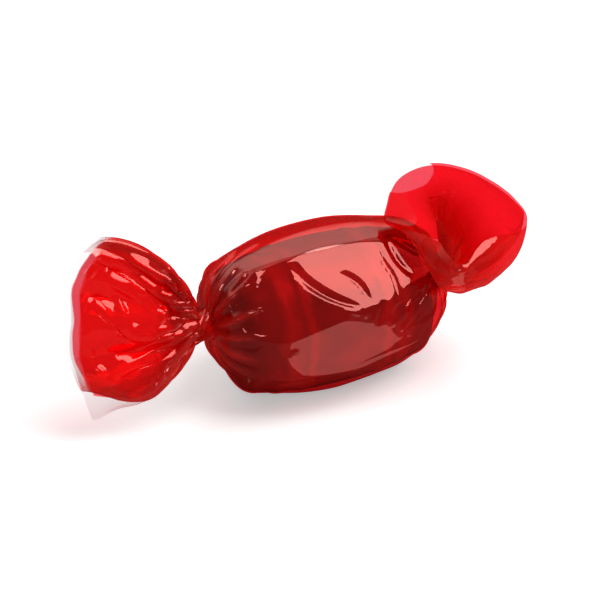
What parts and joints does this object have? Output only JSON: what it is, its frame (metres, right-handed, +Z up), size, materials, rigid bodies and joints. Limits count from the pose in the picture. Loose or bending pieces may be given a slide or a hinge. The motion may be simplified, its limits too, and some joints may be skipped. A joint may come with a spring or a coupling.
{
  "type": "wrapped hard candy",
  "caption": "Barrel-shaped hard candy in red see-through film, twisted shut at both ends: one end flares into a flat fan, the other turns up as a cup.",
  "frame": {"origin": "middle of the small flat spot under the body, on the surface that the candy lies on", "axes": "+X along the candy from the fan to the cup, +Z up, -Y towards the side seen in the picture"},
  "size_m": [0.0524, 0.0207, 0.0222],
  "materials": {
    "red_film": "clear red glossy wrapper film",
    "hard_candy": "dark root beer brown, smooth and glossy"
  },
  "bodies": {
    "root": {"wrapped_candy": "red_film"}
  },
  "joints": []
}
